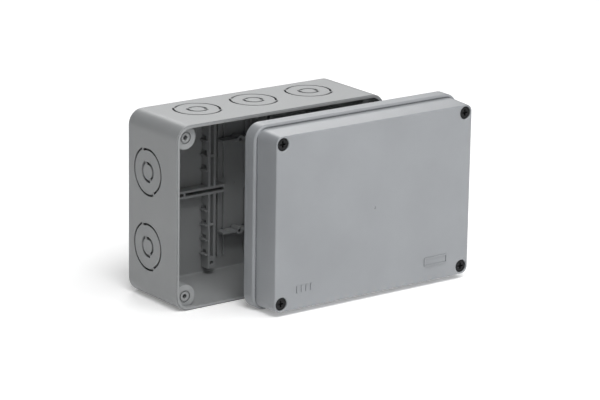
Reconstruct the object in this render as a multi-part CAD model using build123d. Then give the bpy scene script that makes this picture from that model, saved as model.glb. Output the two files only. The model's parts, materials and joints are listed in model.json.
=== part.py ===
from build123d import *
import math
import os

# Surface-mounted electrical junction box, stood on one of its long side walls.
# Frame: origin at the centre of the face that goes against the wall, +Y into
# that wall, the opening towards -Y, +X to the right and +Z up. Millimetres.
# "Depth" is the distance in front of the wall face, so depth d is at y = -d.

# ---- driving dimensions -------------------------------------------------
BOX_WIDTH = 154.0
BOX_HEIGHT = 114.0
BASE_DEPTH = 53.0
CORNER_RADIUS = 9.5
WALL = 2.3
RIM_WALL = 1.9
INSIDE_DRAFT = 1.2
BACK_EDGE_ROUND = 2.5
INSIDE_ROUND = 1.2

RIM_STEP_WIDTH = 0.6
RIM_STEP_DEPTH = 0.5

SCREW_EDGE_DISTANCE = 8.1
BOSS_RADIUS = 7.2
BOSS_BELOW_RIM = 3.3
PILOT_RADIUS = 1.5
PILOT_DEPTH = 16.0
BOSS_RING_INNER = 2.9
BOSS_RING_OUTER = 3.8
BOSS_RING_DEPTH = 0.6

KNOCKOUT_DEPTH = 22.5
KNOCKOUT_SIDE_SPACING = 46.4
KNOCKOUT_LONG_SPACING = 41.5
KNOCKOUT_RADII = (15.15, 14.25)
KNOCKOUT_GROOVE = 1.35
KNOCKOUT_CENTRE_RADII = (6.9, 5.9)
KNOCKOUT_CENTRE_GROOVE = 1.8
KNOCKOUT_BRIDGE = 0.8
KNOCKOUT_WEB = 0.5
KNOCKOUT_SIDE_TURN = 66.0
KNOCKOUT_LONG_TURN = 138.0

RAIL_HEIGHT = 7.2
RAIL_OFFSET = 21.2
RAIL_WIDTH = 5.4
RAIL_SLOT = 2.3
RAIL_HALF_LENGTH = 50.0
RAIL_TIES = (21.8, 43.2)
TIE_THICKNESS = 1.4
RAIL_END_HOLE_OFFSET = 46.4
RAIL_HOLE_RADIUS = 1.3
RAIL_HOLE_DEPTH = 7.0
WINDOW_HEIGHT = 2.6
WINDOW_LOW = 0.3
WINDOW_HIGH = 4.7
WINDOW_PITCH = 9.4
WINDOW_ROWS = ((1, 14.2, 3), (-1, 11.2, 4))
SILL_THICKNESS = 0.9
SILL_REACH = 1.6
SILL_BELOW_TOP = 0.6

CROSS_RAIL_WIDTH = 5.0
CROSS_RAIL_SLOT = 2.0
CROSS_RAIL_INNER_END = 11.5
CROSS_RAIL_TIE = 41.5
CROSS_RAIL_END_WALL = 1.0
CROSS_RAIL_OUTER_STOP = 2.4

CENTRE_BOSS_HEIGHT = 29.2
CENTRE_BOSS_RADIUS = 2.4
CENTRE_HOLE_RADIUS = 1.2
BRACE_THICKNESS = 1.4
BRACE_REACH = 13.0
LOW_RIB_OFFSETS = (8.0, 12.4)
LOW_RIB_THICKNESS = 1.0
LOW_RIB_RISE = 1.5
LOW_RIB_START = 4.5
LOW_RIB_END = 45.0
GATE_MARK_RADIUS = 0.9
GATE_MARK_DEPTH = 0.25

WALL_HOLE_X = 58.0
WALL_HOLE_Z = 33.0
WALL_HOLE_RADIUS = 2.3
WALL_COLLAR_RADIUS = 4.6
WALL_COLLAR_RISE = 1.6

COVER_DEPTH = 27.0
FLANGE_DEPTH = 9.3
FLANGE_ROUND = 1.6
LEDGE_WIDTH = 1.5
LEDGE_GROOVE_WIDTH = 0.7
LEDGE_GROOVE_DEPTH = 0.3
BODY_CORNER_RADIUS = 5.5
BODY_DRAFT = 3.0
HOLLOW_DRAFT = 2.0
FACE_ROUND = 0.7
COVER_WALL = 2.3
FLANGE_WALL = 4.5
GROOVE_INSET = 1.0
GROOVE_WIDTH = 2.2
GROOVE_DEPTH = 2.4
GASKET_SIDE_GAP = 0.1
TUBE_RADIUS = 5.9
TUBE_TRIM = 3.6
COUNTERBORE_RADIUS = 4.0
COUNTERBORE_DEPTH = 17.5
COUNTERBORE_FLARE = 0.4
SCREW_HOLE_RADIUS = 2.3
SCREW_NECK_RADIUS = 1.95
SCREW_NECK_LENGTH = 2.0

SCREW_HEAD_RADIUS = 3.75
SCREW_HEAD_LENGTH = 3.2
SCREW_HEAD_ROUND = 0.5
SCREW_RADIUS = 1.9
SCREW_CORE_RADIUS = 1.35
THREAD_PITCH = 1.3
THREAD_COUNT = 5
SCREW_SET_BACK = 0.8
SCREW_TIP_CLEARANCE = 0.4
CROSS_SLOT_WIDTH = 1.1
CROSS_SLOT_LENGTH = 4.2
CROSS_SLOT_DEPTH = 1.6

MARK_RISE = 0.45
MARK_FRAME_WIDTH = 18.0
MARK_FRAME_HEIGHT = 5.6
MARK_FRAME_LINE = 0.9
MARK_FRAME_X = 48.3
MARK_BAR_COUNT = 4
MARK_BAR_PITCH = 3.4
MARK_BAR_WIDTH = 1.3
MARK_BAR_HEIGHT = 4.2
MARK_BAR_X = -52.2
MARK_Z = -41.5

# ---- where the cover stands, taken off the base --------------------------
COVER_SHIFT_X = 38.6
COVER_GAP = 14.6

# ---- derived -------------------------------------------------------------
INSIDE_WIDTH = BOX_WIDTH - 2 * WALL
SCREW_X = BOX_WIDTH / 2 - SCREW_EDGE_DISTANCE
SCREW_Z = BOX_HEIGHT / 2 - SCREW_EDGE_DISTANCE
RAIL_TOP = WALL + RAIL_HEIGHT
BOSS_TOP = BASE_DEPTH - BOSS_BELOW_RIM
COVER_BACK = BASE_DEPTH + COVER_GAP
COVER_FACE = COVER_BACK + COVER_DEPTH
LEDGE = COVER_BACK + FLANGE_DEPTH
SIDES = (-1, 1)
CORNERS = {
    "top_left": (-1, 1),
    "top_right": (1, 1),
    "bottom_left": (-1, -1),
    "bottom_right": (1, -1),
}


def inset_outline(inset, radius):
    """The box's outline, pulled in all round by inset, with its own corner radius."""
    return RectangleRounded(BOX_WIDTH - 2 * inset, BOX_HEIGHT - 2 * inset, radius)


def inset_slab(inset, start, end):
    """A slab of the box's outline, pulled in all round by inset, between two depths."""
    outline = Plane.XZ.offset(start) * inset_outline(inset, CORNER_RADIUS - inset)
    return extrude(outline, amount=end - start)


def rod(x, z, radius, start, end):
    """A round bar along the depth, at x and z."""
    outline = Plane.XZ.offset(start) * Pos(x, z) * Circle(radius)
    return extrude(outline, amount=end - start)


def block(x_span, z_span, depth_span):
    """A plain block given by its spans in x, z and depth."""
    low = (x_span[0], -depth_span[1], z_span[0])
    size = (x_span[1] - x_span[0], depth_span[1] - depth_span[0], z_span[1] - z_span[0])
    return Pos(*low) * Box(*size, align=Align.MIN)


def back_edges(part):
    """The edges at the part's rearmost face, the one nearest the wall."""
    return part.edges().group_by(Axis.Y)[-1]


def front_edges(part):
    """The edges at the part's foremost face."""
    return part.edges().group_by(Axis.Y)[0]


# ---- knock-outs ------------------------------------------------------------
def knockout_places():
    """Name and wall plane of each knock-out: its z axis points out of the box.

    The plane's x axis lies along the line where the two halves of a knock-out
    meet, and its y axis points to the larger half.
    """
    places = {}
    side_turn = math.radians(KNOCKOUT_SIDE_TURN)
    long_turn = math.radians(KNOCKOUT_LONG_TURN)
    for side, sign in (("left", -1), ("right", 1)):
        meeting_line = (0, -sign * math.cos(side_turn), -sign * math.sin(side_turn))
        for level, up in (("upper", 1), ("lower", -1)):
            origin = (sign * BOX_WIDTH / 2, -KNOCKOUT_DEPTH, up * KNOCKOUT_SIDE_SPACING / 2)
            places[f"{side}_{level}"] = Plane(origin, x_dir=meeting_line, z_dir=(sign, 0, 0))
    for side, sign in (("top", 1), ("bottom", -1)):
        meeting_line = (sign * math.cos(long_turn), sign * math.sin(long_turn), 0)
        for place, step in (("left", -1), ("middle", 0), ("right", 1)):
            origin = (step * KNOCKOUT_LONG_SPACING, -KNOCKOUT_DEPTH, sign * BOX_HEIGHT / 2)
            places[f"{side}_{place}"] = Plane(origin, x_dir=meeting_line, z_dir=(0, 0, sign))
    return places


def two_halves(radii, inset=0.0, gap=0.0):
    """Two half discs of different radii, pulled in by inset and held apart by gap."""
    shape = Sketch()
    for up, radius in zip((1, -1), radii):
        r = radius - inset
        shape += Circle(r) & Pos(0, up * (r + gap / 2)) * Rectangle(2 * r, 2 * r)
    return shape


def from_outside(plane, sketch, depth):
    """A sketch in a wall's outside face, pushed into the wall by depth."""
    return extrude(plane * sketch, amount=-depth)


def knockout_blank(plane, radii, groove, hollow):
    """A blank joined to what is round it by a thin web and, between its grooves, two bridges.

    Its inner face is flush with the inside of the wall, which leans with the hollow.
    """
    blank = from_outside(plane, two_halves(radii), 2 * WALL) - hollow
    ring = two_halves(radii, gap=KNOCKOUT_BRIDGE) - two_halves(radii, inset=groove)
    return blank - from_outside(plane, ring, WALL - KNOCKOUT_WEB)


def knockout_ring(plane, hollow):
    """The large blank, with the place of the small one cut out of it."""
    ring = knockout_blank(plane, KNOCKOUT_RADII, KNOCKOUT_GROOVE, hollow)
    return ring - from_outside(plane, two_halves(KNOCKOUT_CENTRE_RADII), 2 * WALL)


def knockout_centre(plane, hollow):
    """The small blank in the middle of the large one."""
    return knockout_blank(plane, KNOCKOUT_CENTRE_RADII, KNOCKOUT_CENTRE_GROOVE, hollow)


# ---- base --------------------------------------------------------------------
def base_hollow():
    """The space inside the base, widening a little towards the rim."""
    mouth = Plane.XZ.offset(BASE_DEPTH) * inset_outline(RIM_WALL, CORNER_RADIUS - RIM_WALL)
    hollow = extrude(mouth, amount=WALL - BASE_DEPTH, taper=INSIDE_DRAFT)
    return fillet(back_edges(hollow), INSIDE_ROUND)


def base_shell():
    """The open tray, with its rounded back and the step round its rim."""
    shell = inset_slab(0, 0, BASE_DEPTH)
    shell = fillet(back_edges(shell), BACK_EDGE_ROUND)
    step_start = BASE_DEPTH - RIM_STEP_DEPTH
    step = inset_slab(0, step_start, BASE_DEPTH) - inset_slab(RIM_STEP_WIDTH, step_start, BASE_DEPTH)
    return shell - base_hollow() - step


def corner_bosses():
    """The four posts that take the cover screws."""
    posts = Part()
    for sx, sz in CORNERS.values():
        posts += rod(sx * SCREW_X, sz * SCREW_Z, BOSS_RADIUS, WALL / 2, BOSS_TOP)
    return posts & inset_slab(WALL / 2, WALL / 2, BOSS_TOP)


def boss_recesses():
    """The screw hole and the sealing ring groove in each corner post."""
    cuts = Part()
    ring_start = BOSS_TOP - BOSS_RING_DEPTH
    for sx, sz in CORNERS.values():
        x = sx * SCREW_X
        z = sz * SCREW_Z
        ring = rod(x, z, BOSS_RING_OUTER, ring_start, BOSS_TOP)
        cuts += ring - rod(x, z, BOSS_RING_INNER, ring_start, BOSS_TOP)
        cuts += rod(x, z, PILOT_RADIUS, BOSS_TOP - PILOT_DEPTH, BOSS_TOP)
    return cuts


def upright_rail(side):
    """A slotted rail up the back plate, solid at both ends."""
    centre = side * RAIL_OFFSET
    rail = block(
        (centre - RAIL_WIDTH / 2, centre + RAIL_WIDTH / 2),
        (-RAIL_HALF_LENGTH, RAIL_HALF_LENGTH),
        (WALL / 2, RAIL_TOP),
    )
    stops = (CROSS_RAIL_WIDTH / 2 - TIE_THICKNESS / 2,) + RAIL_TIES
    slot_span = (centre - RAIL_SLOT / 2, centre + RAIL_SLOT / 2)
    for end in SIDES:
        for low, high in zip(stops, stops[1:]):
            heights = sorted((end * (low + TIE_THICKNESS / 2), end * (high - TIE_THICKNESS / 2)))
            rail -= block(slot_span, heights, (WALL, RAIL_TOP))
    return rail


def window_heights():
    """The height of the middle of each opening in an upright rail."""
    rows = [[end * (first + n * WINDOW_PITCH) for n in range(count)] for end, first, count in WINDOW_ROWS]
    return sum(rows, [])


def rail_windows(side):
    """The row of openings through the outer wall of an upright rail."""
    cuts = Part()
    reach = sorted((side * (RAIL_OFFSET + RAIL_WIDTH / 2), side * RAIL_OFFSET))
    depths = (WALL + WINDOW_LOW, WALL + WINDOW_HIGH)
    for z in window_heights():
        cuts += block(reach, (z - WINDOW_HEIGHT / 2, z + WINDOW_HEIGHT / 2), depths)
    return cuts


def window_sills(side):
    """A short ledge on the outside of an upright rail, under each of its openings."""
    shape = Part()
    wall = RAIL_OFFSET + RAIL_WIDTH / 2
    reach = sorted((side * (wall + SILL_REACH), side * (wall - WALL / 2 + SILL_REACH / 2)))
    depths = (WALL / 2, RAIL_TOP - SILL_BELOW_TOP)
    for z in window_heights():
        top = z - WINDOW_HEIGHT / 2
        shape += block(reach, (top - SILL_THICKNESS, top), depths)
    return shape


def cross_rail(side):
    """A slotted rail at mid height, from a side wall past the upright rail."""
    ends = sorted((side * (INSIDE_WIDTH / 2 + WALL / 2), side * CROSS_RAIL_INNER_END))
    half = CROSS_RAIL_WIDTH / 2
    return block(ends, (-half, half), (WALL / 2, RAIL_TOP))


def cross_rail_slots(side):
    """The two long slots of a cross rail, one each side of its tie."""
    cuts = Part()
    stops = (
        CROSS_RAIL_INNER_END + CROSS_RAIL_END_WALL,
        CROSS_RAIL_TIE - TIE_THICKNESS / 2,
        CROSS_RAIL_TIE + TIE_THICKNESS / 2,
        INSIDE_WIDTH / 2 - CROSS_RAIL_OUTER_STOP,
    )
    half = CROSS_RAIL_SLOT / 2
    for low, high in (stops[:2], stops[2:]):
        cuts += block(sorted((side * low, side * high)), (-half, half), (WALL, RAIL_TOP))
    return cuts


def centre_bosses():
    """The two screw posts on the centre line, each on an upright shelf between the rails."""
    shape = Part()
    half = BRACE_THICKNESS / 2
    for end in SIDES:
        z = end * CENTRE_BOSS_HEIGHT
        shape += rod(0, z, CENTRE_BOSS_RADIUS, WALL / 2, RAIL_TOP)
        shape += block((-BRACE_REACH, BRACE_REACH), (z - half, z + half), (WALL / 2, RAIL_TOP))
    return shape


def low_ribs():
    """Pairs of low ribs up the back plate, beside the upright rails."""
    shape = Part()
    half = LOW_RIB_THICKNESS / 2
    for offset in LOW_RIB_OFFSETS:
        for x in (-offset, offset):
            for end in SIDES:
                heights = sorted((end * LOW_RIB_START, end * LOW_RIB_END))
                shape += block((x - half, x + half), heights, (WALL / 2, WALL + LOW_RIB_RISE))
    return shape


def wall_hole_places():
    """The four places where the box is screwed to a wall."""
    return [(sx * WALL_HOLE_X, sz * WALL_HOLE_Z) for sx, sz in CORNERS.values()]


def back_plate_holes():
    """Wall holes right through, and blind pilot holes in the rail ends and posts."""
    cuts = Part()
    for x, z in wall_hole_places():
        cuts += rod(x, z, WALL_HOLE_RADIUS, 0, WALL + WALL_COLLAR_RISE)
    hole_start = RAIL_TOP - RAIL_HOLE_DEPTH
    for end in SIDES:
        cuts += rod(0, end * CENTRE_BOSS_HEIGHT, CENTRE_HOLE_RADIUS, hole_start, RAIL_TOP)
        for side in SIDES:
            x = side * RAIL_OFFSET
            cuts += rod(x, end * RAIL_END_HOLE_OFFSET, RAIL_HOLE_RADIUS, hole_start, RAIL_TOP)
    return cuts + rod(0, 0, GATE_MARK_RADIUS, WALL - GATE_MARK_DEPTH, WALL)


def base_box():
    """The whole base moulding."""
    base = base_shell() + corner_bosses()
    for side in SIDES:
        base += upright_rail(side) - rail_windows(side) + window_sills(side)
    base += centre_bosses() + low_ribs()
    for x, z in wall_hole_places():
        base += rod(x, z, WALL_COLLAR_RADIUS, WALL / 2, WALL + WALL_COLLAR_RISE)
    for side in SIDES:
        base += cross_rail(side)
        base -= cross_rail_slots(side)
    base -= boss_recesses() + back_plate_holes()
    for plane in knockout_places().values():
        base -= from_outside(plane, two_halves(KNOCKOUT_RADII), 2 * WALL)
    return base


# ---- cover ---------------------------------------------------------------------
def cover_outside():
    """The flange and, set in from it, the raised body with its drafted sides."""
    flange = inset_slab(0, COVER_BACK, LEDGE)
    flange = fillet(front_edges(flange), FLANGE_ROUND)
    foot_inset = LEDGE_WIDTH + LEDGE_GROOVE_WIDTH
    foot_depth = LEDGE - LEDGE_GROOVE_DEPTH
    flange -= inset_slab(LEDGE_WIDTH, foot_depth, LEDGE)
    foot = inset_outline(foot_inset, BODY_CORNER_RADIUS)
    body = extrude(Plane.XZ.offset(foot_depth) * foot, amount=COVER_FACE - foot_depth, taper=BODY_DRAFT)
    return flange + fillet(front_edges(body), FACE_ROUND)


def cover_hollow():
    """The space inside the cover, drafted like its outside."""
    mouth = Plane.XZ.offset(COVER_BACK) * inset_outline(FLANGE_WALL, CORNER_RADIUS - FLANGE_WALL)
    hollow = extrude(mouth, amount=COVER_DEPTH - COVER_WALL, taper=HOLLOW_DRAFT)
    return fillet(front_edges(hollow), INSIDE_ROUND)


def screw_tubes():
    """The four posts inside the cover, trimmed to stay within its side walls."""
    posts = Part()
    for sx, sz in CORNERS.values():
        posts += rod(sx * SCREW_X, sz * SCREW_Z, TUBE_RADIUS, COVER_BACK, COVER_FACE - COVER_WALL / 2)
    return posts & inset_slab(TUBE_TRIM, COVER_BACK, COVER_FACE)


def screw_bore(x, z):
    """Counterbore with a flared mouth, a close neck that keeps the screw in, and a clear hole."""
    shoulder = COVER_FACE - COUNTERBORE_DEPTH
    neck_end = shoulder - SCREW_NECK_LENGTH
    bore = rod(x, z, COUNTERBORE_RADIUS, shoulder, COVER_FACE)
    bore += rod(x, z, SCREW_NECK_RADIUS, neck_end, shoulder)
    bore += rod(x, z, SCREW_HOLE_RADIUS, COVER_BACK, neck_end)
    mouth = Plane.XZ.offset(COVER_FACE - COUNTERBORE_FLARE) * Pos(x, z) * Circle(COUNTERBORE_RADIUS)
    return bore + extrude(mouth, amount=COUNTERBORE_FLARE, taper=-45)


def gasket_ring(side_gap):
    """A ring on the cover's rear face, clear of the groove's walls by side_gap."""
    outer = GROOVE_INSET + side_gap
    inner = GROOVE_INSET + GROOVE_WIDTH - side_gap
    end = COVER_BACK + GROOVE_DEPTH
    return inset_slab(outer, COVER_BACK, end) - inset_slab(inner, COVER_BACK, end)


def face_marks():
    """An empty raised frame and a row of raised bars, low on the cover's face."""
    start = COVER_FACE - MARK_RISE
    end = COVER_FACE + MARK_RISE
    plane = Plane.XZ.offset(start)
    frame = RectangleRounded(MARK_FRAME_WIDTH, MARK_FRAME_HEIGHT, MARK_FRAME_LINE)
    frame -= Rectangle(MARK_FRAME_WIDTH - 2 * MARK_FRAME_LINE, MARK_FRAME_HEIGHT - 2 * MARK_FRAME_LINE)
    marks = extrude(plane * Pos(MARK_FRAME_X, MARK_Z) * frame, amount=end - start)
    for number in range(MARK_BAR_COUNT):
        x = MARK_BAR_X + (number - (MARK_BAR_COUNT - 1) / 2) * MARK_BAR_PITCH
        bar = Rectangle(MARK_BAR_WIDTH, MARK_BAR_HEIGHT)
        marks += extrude(plane * Pos(x, MARK_Z) * bar, amount=end - start)
    return marks


def cover():
    """The whole cover moulding."""
    shell = cover_outside() - cover_hollow() + screw_tubes() + face_marks()
    shell -= gasket_ring(0.0)
    for sx, sz in CORNERS.values():
        shell -= screw_bore(sx * SCREW_X, sz * SCREW_Z)
    return shell - rod(0, 0, GATE_MARK_RADIUS, COVER_FACE - GATE_MARK_DEPTH, COVER_FACE)


# ---- screws --------------------------------------------------------------------
def cover_screw(x, z):
    """A captive screw, drawn back in its tube as it sits when the cover is off."""
    head_top = COVER_FACE - SCREW_SET_BACK
    head_under = head_top - SCREW_HEAD_LENGTH
    tip = COVER_BACK + SCREW_TIP_CLEARANCE
    head = rod(x, z, SCREW_HEAD_RADIUS, head_under, head_top)
    head = fillet(front_edges(head), SCREW_HEAD_ROUND)
    slot_depths = (head_top - CROSS_SLOT_DEPTH, head_top)
    half_width = CROSS_SLOT_WIDTH / 2
    half_length = CROSS_SLOT_LENGTH / 2
    head -= block((x - half_width, x + half_width), (z - half_length, z + half_length), slot_depths)
    head -= block((x - half_length, x + half_length), (z - half_width, z + half_width), slot_depths)
    thread_top = tip + THREAD_COUNT * THREAD_PITCH
    shank = rod(x, z, SCREW_RADIUS, thread_top, head_under)
    shank += rod(x, z, SCREW_CORE_RADIUS, tip, thread_top)
    for number in range(THREAD_COUNT):
        middle = tip + (number + 0.5) * THREAD_PITCH
        crest = rod(x, z, SCREW_RADIUS, middle - THREAD_PITCH / 4, middle + THREAD_PITCH / 4)
        shank += chamfer(crest.edges(), THREAD_PITCH / 5)
    return head + shank


# ---- write one file per piece ----------------------------------------------------
def pieces():
    """Every piece of the box, by name, with the cover and its pieces set aside."""
    named = {"base_box": base_box()}
    hollow = base_hollow()
    for name, plane in knockout_places().items():
        named[f"knockout_ring_{name}"] = knockout_ring(plane, hollow)
        named[f"knockout_centre_{name}"] = knockout_centre(plane, hollow)
    aside = Pos(COVER_SHIFT_X, 0, 0)
    named["cover"] = aside * cover()
    named["cover_gasket"] = aside * gasket_ring(GASKET_SIDE_GAP)
    for name, (sx, sz) in CORNERS.items():
        named[f"cover_screw_{name}"] = aside * cover_screw(sx * SCREW_X, sz * SCREW_Z)
    return named


os.makedirs("parts", exist_ok=True)
for piece_name, piece in pieces().items():
    export_step(piece, f"parts/{piece_name}.step")
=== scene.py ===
import bpy
import json
import math
from mathutils import Matrix, Vector


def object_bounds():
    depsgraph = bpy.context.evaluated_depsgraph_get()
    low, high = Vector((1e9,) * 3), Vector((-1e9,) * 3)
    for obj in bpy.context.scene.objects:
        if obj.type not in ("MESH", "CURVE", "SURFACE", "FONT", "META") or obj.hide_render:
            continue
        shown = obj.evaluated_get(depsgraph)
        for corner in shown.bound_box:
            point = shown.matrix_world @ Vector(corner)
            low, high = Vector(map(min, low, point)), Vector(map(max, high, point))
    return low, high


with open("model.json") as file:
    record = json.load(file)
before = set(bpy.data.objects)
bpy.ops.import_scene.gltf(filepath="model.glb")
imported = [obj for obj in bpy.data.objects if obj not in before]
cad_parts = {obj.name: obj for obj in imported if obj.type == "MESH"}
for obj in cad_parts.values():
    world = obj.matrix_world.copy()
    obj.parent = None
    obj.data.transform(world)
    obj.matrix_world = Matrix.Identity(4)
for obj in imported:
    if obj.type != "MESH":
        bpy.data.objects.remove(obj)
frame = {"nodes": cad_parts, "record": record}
cad_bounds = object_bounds()

# Lengths are in metres and angles in degrees. Azimuth 0 looks along +Y, and a
# negative azimuth looks from the left.

# ---- camera ----
CAMERA_AZIMUTH = -36.93
CAMERA_ELEVATION = 15.83
CAMERA_ROLL = 0.91
CAMERA_DISTANCE = 1.828
CAMERA_LENS_MM = 180.0
CAMERA_SHIFT = (-0.0039, -0.0094)
CAMERA_FARTHEST = 50.0

# ---- stage ----
FLOOR_HALF_SIZE = 6.0
FLOOR_COLOR = (0.92, 0.92, 0.92)
FLOOR_GLOW = 0.22
FLOOR_CLOUD_SIZE = 0.3
FLOOR_CLOUD_TONE = 0.985
FLOOR_ROUGHNESS = (0.75, 0.85)
WHITE = (1.0, 1.0, 1.0)
WORLD_STRENGTH = 0.02
BACKDROP_STRENGTH = 0.8

# name: azimuth, elevation, distance, width, height, watts
SOFTBOXES = {
    "light_key": (35.0, 60.0, 1.8, 1.2, 1.2, 14.0),
    "light_low_right": (35.0, 12.0, 1.8, 0.9, 0.7, 3.5),
    "light_high_left": (-25.0, 60.0, 1.8, 0.9, 0.9, 19.0),
    "light_left": (-30.0, 35.0, 1.8, 0.9, 0.9, 4.0),
    "light_back": (150.0, 35.0, 1.8, 0.9, 0.9, 11.0),
}

# ---- looks ----
BASE_GREY = (0.28, 0.288, 0.292)
COVER_GREY = (0.288, 0.30, 0.315)
SCREW_BLACK = (0.006, 0.0064, 0.007)
GASKET_BLACK = (0.02, 0.02, 0.02)

# Nearly all of a noise texture's values lie between these two.
NOISE_SPAN = (0.3, 0.7)

CLOUD_SIZE = 0.045
CLOUD_TONES = (0.93, 1.05)
CLOUD_ROUGHNESS = (-0.03, 0.05)
GRAIN_ROUGHNESS = (-0.03, 0.03)
GRAIN_HEIGHT = 0.00003
SPECK_SIZE = 0.0016
SPECK_SPAN = (0.66, 0.74)
SPECK_STRENGTH = 0.35
PLASTIC_IOR = 1.5
PLASTIC_SHINE = 0.5
SCREW_SHINE = 0.3

# Painted shade: deep in grooves and creases the colour turns to a darker copy, found by ambient
# occlusion.
GROOVE_REACH = 0.002
GROOVE_SHADE = 0.22
GROOVE_OPENNESS = (0.27, 0.62)
GROOVE_SAMPLES = 8
EDGE_SAMPLES = 4

PORE_SIZE = 0.0007
PORE_DEPTH = 0.0001
RUBBER_ROUGHNESS = (0.75, 0.95)
BLOOM_SIZE = 0.01
BLOOM_SPAN = (0.4, 0.8)
BLOOM_STRENGTH = 0.6
BLOOM_GAIN = 1.8
BLOOM_LIFT = 0.01

# The colour sockets of a mix node, which shares its names with other kinds of mix.
MIX_COLOR_INPUTS = (6, 7)
MIX_COLOR_OUTPUT = 2


def direction(azimuth, elevation):
    """Unit vector from the object towards a place at this azimuth and elevation."""
    a = math.radians(azimuth)
    e = math.radians(elevation)
    return Vector((math.sin(a) * math.cos(e), -math.cos(a) * math.cos(e), math.sin(e)))


def aimed(location, target, roll=0.0):
    """World matrix of a camera or light at location that looks at target."""
    turn = (target - location).to_track_quat("-Z", "Y").to_matrix().to_4x4()
    return Matrix.Translation(location) @ turn @ Matrix.Rotation(math.radians(roll), 4, "Z")


def toned(color, factor):
    """A colour made darker or lighter by a factor."""
    return tuple(min(1.0, c * factor) for c in color)


# ---- materials ----
class NodeMaker:
    """Makes one material: adds nodes to it and links them."""

    def __init__(self, name):
        self.material = bpy.data.materials.new(name)
        self.material.use_nodes = True
        self.tree = self.material.node_tree
        self.tree.nodes.clear()
        self.surface = self.add("ShaderNodeBsdfPrincipled")
        output = self.add("ShaderNodeOutputMaterial")
        self.link(self.surface.outputs["BSDF"], output.inputs["Surface"])
        self.coordinates = self.add("ShaderNodeTexCoord").outputs["Object"]

    def add(self, kind, **settings):
        """A new node with these settings."""
        node = self.tree.nodes.new(kind)
        for key, value in settings.items():
            setattr(node, key, value)
        return node

    def link(self, start, end):
        self.tree.links.new(start, end)

    def constant(self, socket, value):
        """A constant, on the shader's own socket."""
        self.surface.inputs[socket].default_value = value

    def varying(self, socket, value):
        """A value that varies over the surface, linked to the shader."""
        self.link(value, self.surface.inputs[socket])

    def noise(self, size, detail=3.0, roughness=0.5):
        """Noise whose blobs are about size across, as a value round 0.5."""
        node = self.add("ShaderNodeTexNoise")
        node.inputs["Scale"].default_value = 1.0 / size
        node.inputs["Detail"].default_value = detail
        node.inputs["Roughness"].default_value = roughness
        self.link(self.coordinates, node.inputs["Vector"])
        return node.outputs["Fac"]

    def remap(self, value, span, new_span):
        """A value that goes through span, spread over new_span and held at its ends."""
        node = self.add("ShaderNodeMapRange")
        sockets = ("From Min", "From Max", "To Min", "To Max")
        for socket, number in zip(sockets, (*span, *new_span)):
            node.inputs[socket].default_value = number
        self.link(value, node.inputs["Value"])
        return node.outputs["Result"]

    def sum_of(self, first, second):
        """The sum of two values."""
        node = self.add("ShaderNodeMath", operation="ADD")
        self.link(first, node.inputs[0])
        self.link(second, node.inputs[1])
        return node.outputs["Value"]

    def color_mix(self, factor, first, second):
        """A colour between two others, each a plain colour or another node's output."""
        node = self.add("ShaderNodeMix", data_type="RGBA")
        self.link(factor, node.inputs["Factor"])
        for index, color in zip(MIX_COLOR_INPUTS, (first, second)):
            if isinstance(color, tuple):
                node.inputs[index].default_value = (*color, 1.0)
            else:
                self.link(color, node.inputs[index])
        return node.outputs[MIX_COLOR_OUTPUT]

    def bump(self, height, distance, normal=None):
        """The surface direction with bumps as high as distance, on top of another if given."""
        node = self.add("ShaderNodeBump")
        node.inputs["Strength"].default_value = 1.0
        node.inputs["Distance"].default_value = distance
        self.link(height, node.inputs["Height"])
        if normal is not None:
            self.link(normal, node.inputs["Normal"])
        return node.outputs["Normal"]

    def painted_crevice_shade(self, reach):
        """Painted shade mask from ambient occlusion: from 0 deep in a groove narrower than about reach
        to 1 in the open.
        """
        node = self.add("ShaderNodeAmbientOcclusion", samples=GROOVE_SAMPLES)
        node.inputs["Distance"].default_value = reach
        return self.remap(node.outputs["AO"], GROOVE_OPENNESS, (0.0, 1.0))

    def soft_edges(self, radius):
        """The surface direction with sharp edges rounded by radius."""
        node = self.add("ShaderNodeBevel", samples=EDGE_SAMPLES)
        node.inputs["Radius"].default_value = radius
        return node.outputs["Normal"]


def moulded_plastic(name, color, grain, edge, gloss, shine=PLASTIC_SHINE):
    """Through-coloured moulded plastic with a fine grain, faint clouds, sparse specks and painted shade
    that darkens its grooves and creases.

    grain is the size of the grain, edge the rounding of sharp edges and gloss the mean roughness.
    """
    m = NodeMaker(name)
    cloud_noise = m.noise(CLOUD_SIZE, detail=4.0)
    grain_noise = m.noise(grain, detail=2.0, roughness=0.6)
    speck_noise = m.noise(SPECK_SIZE, detail=1.0)

    darker, lighter = (toned(color, tone) for tone in CLOUD_TONES)
    clouded = m.color_mix(m.remap(cloud_noise, NOISE_SPAN, (0.0, 1.0)), darker, lighter)
    specks = m.remap(speck_noise, SPECK_SPAN, (0.0, SPECK_STRENGTH))
    in_the_open = m.color_mix(specks, clouded, darker)
    # Painted shade: deep in grooves and creases the colour is a darker copy of the plastic's own.
    painted_groove_shade = toned(color, GROOVE_SHADE)
    m.varying("Base Color", m.color_mix(m.painted_crevice_shade(GROOVE_REACH), painted_groove_shade, in_the_open))

    cloud_roughness = tuple(gloss + change for change in CLOUD_ROUGHNESS)
    m.varying("Roughness", m.sum_of(
        m.remap(cloud_noise, NOISE_SPAN, cloud_roughness),
        m.remap(grain_noise, NOISE_SPAN, GRAIN_ROUGHNESS),
    ))
    m.varying("Normal", m.bump(grain_noise, GRAIN_HEIGHT, m.soft_edges(edge)))
    m.constant("IOR", PLASTIC_IOR)
    m.constant("Specular IOR Level", shine)
    return m.material


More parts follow.
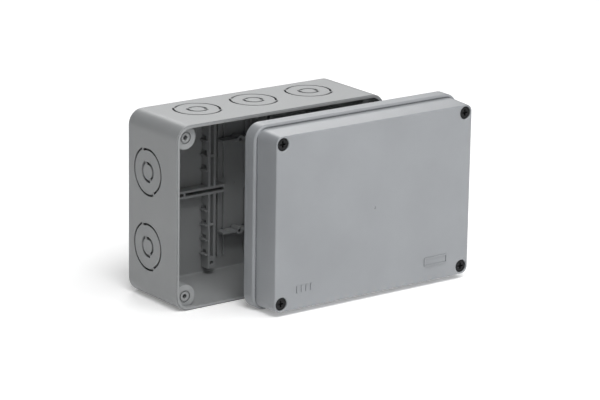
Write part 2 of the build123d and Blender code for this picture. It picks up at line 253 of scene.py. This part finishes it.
def soft_rubber(name, color):
    """Dull soft rubber with open pores and a pale bloom."""
    m = NodeMaker(name)
    pores = m.noise(PORE_SIZE, detail=3.0, roughness=0.7)
    bloom = m.noise(BLOOM_SIZE, detail=3.0)
    pale = tuple(c * BLOOM_GAIN + BLOOM_LIFT for c in color)
    bloomed = m.remap(bloom, BLOOM_SPAN, (0.0, BLOOM_STRENGTH))
    m.varying("Base Color", m.color_mix(bloomed, color, pale))
    m.varying("Roughness", m.remap(pores, NOISE_SPAN, RUBBER_ROUGHNESS))
    m.varying("Normal", m.bump(pores, PORE_DEPTH))
    return m.material


MATERIALS = {
    "base_plastic": moulded_plastic(
        "base_plastic_look", BASE_GREY, grain=0.0004, edge=0.0002, gloss=0.42),
    "knockout_plastic": moulded_plastic(
        "knockout_plastic_look", BASE_GREY, grain=0.0004, edge=0.0001, gloss=0.44),
    "cover_plastic": moulded_plastic(
        "cover_plastic_look", COVER_GREY, grain=0.0004, edge=0.0002, gloss=0.39),
    "gasket_rubber": soft_rubber("gasket_rubber_look", GASKET_BLACK),
    "screw": moulded_plastic(
        "screw_look", SCREW_BLACK, grain=0.0003, edge=0.0001, gloss=0.55, shine=SCREW_SHINE),
}


def dress_cad_nodes():
    """Every piece of the frame takes the material of its slot."""
    for piece in frame["record"]["subparts"]:
        slots = frame["nodes"][piece["node"]].data.materials
        slots.clear()
        slots.append(MATERIALS[piece["material_slot"]])


# ---- floor, backdrop, lights and camera ----
def make_floor(height):
    """A wide pale floor, faintly lit from below like a light table."""
    h = FLOOR_HALF_SIZE
    corners = [(-h, -h, height), (h, -h, height), (h, h, height), (-h, h, height)]
    mesh = bpy.data.meshes.new("floor")
    mesh.from_pydata(corners, [], [(0, 1, 2, 3)])
    floor = bpy.data.objects.new("floor", mesh)
    bpy.context.scene.collection.objects.link(floor)
    m = NodeMaker("floor_look")
    clouds = m.noise(FLOOR_CLOUD_SIZE)
    m.varying("Base Color", m.color_mix(clouds, toned(FLOOR_COLOR, FLOOR_CLOUD_TONE), FLOOR_COLOR))
    m.varying("Roughness", m.remap(clouds, NOISE_SPAN, FLOOR_ROUGHNESS))
    m.constant("Emission Color", (*WHITE, 1.0))
    m.constant("Emission Strength", FLOOR_GLOW)
    mesh.materials.append(m.material)


def make_backdrop():
    """A pale backdrop beyond the floor, which lights the object only a little."""
    world = bpy.data.worlds.new("studio")
    bpy.context.scene.world = world
    world.use_nodes = True
    tree = world.node_tree
    background = tree.nodes["Background"]
    background.inputs["Color"].default_value = (*WHITE, 1.0)
    strength = tree.nodes.new("ShaderNodeMapRange")
    strength.inputs["To Min"].default_value = WORLD_STRENGTH
    strength.inputs["To Max"].default_value = BACKDROP_STRENGTH
    seen = tree.nodes.new("ShaderNodeLightPath").outputs["Is Camera Ray"]
    tree.links.new(seen, strength.inputs["Value"])
    tree.links.new(strength.outputs["Result"], background.inputs["Strength"])


def make_lights(target):
    """The soft lights, each aimed at target."""
    for name, (azimuth, elevation, distance, width, height, watts) in SOFTBOXES.items():
        data = bpy.data.lights.new(name, "AREA")
        data.shape = "RECTANGLE"
        data.size = width
        data.size_y = height
        data.energy = watts
        light = bpy.data.objects.new(name, data)
        bpy.context.scene.collection.objects.link(light)
        light.matrix_world = aimed(target + distance * direction(azimuth, elevation), target)


def make_camera(target):
    """The camera, aimed at target and made the scene's own."""
    data = bpy.data.cameras.new("camera")
    data.lens = CAMERA_LENS_MM
    data.shift_x, data.shift_y = CAMERA_SHIFT
    data.clip_end = CAMERA_FARTHEST
    camera = bpy.data.objects.new("camera", data)
    bpy.context.scene.collection.objects.link(camera)
    location = target + CAMERA_DISTANCE * direction(CAMERA_AZIMUTH, CAMERA_ELEVATION)
    camera.matrix_world = aimed(location, target, CAMERA_ROLL)
    bpy.context.scene.camera = camera


dress_cad_nodes()
low, high = cad_bounds
middle = (Vector(low) + Vector(high)) / 2
make_floor(low[2])
make_backdrop()
make_lights(middle)
make_camera(middle)
bpy.context.scene.view_settings.view_transform = "Standard"
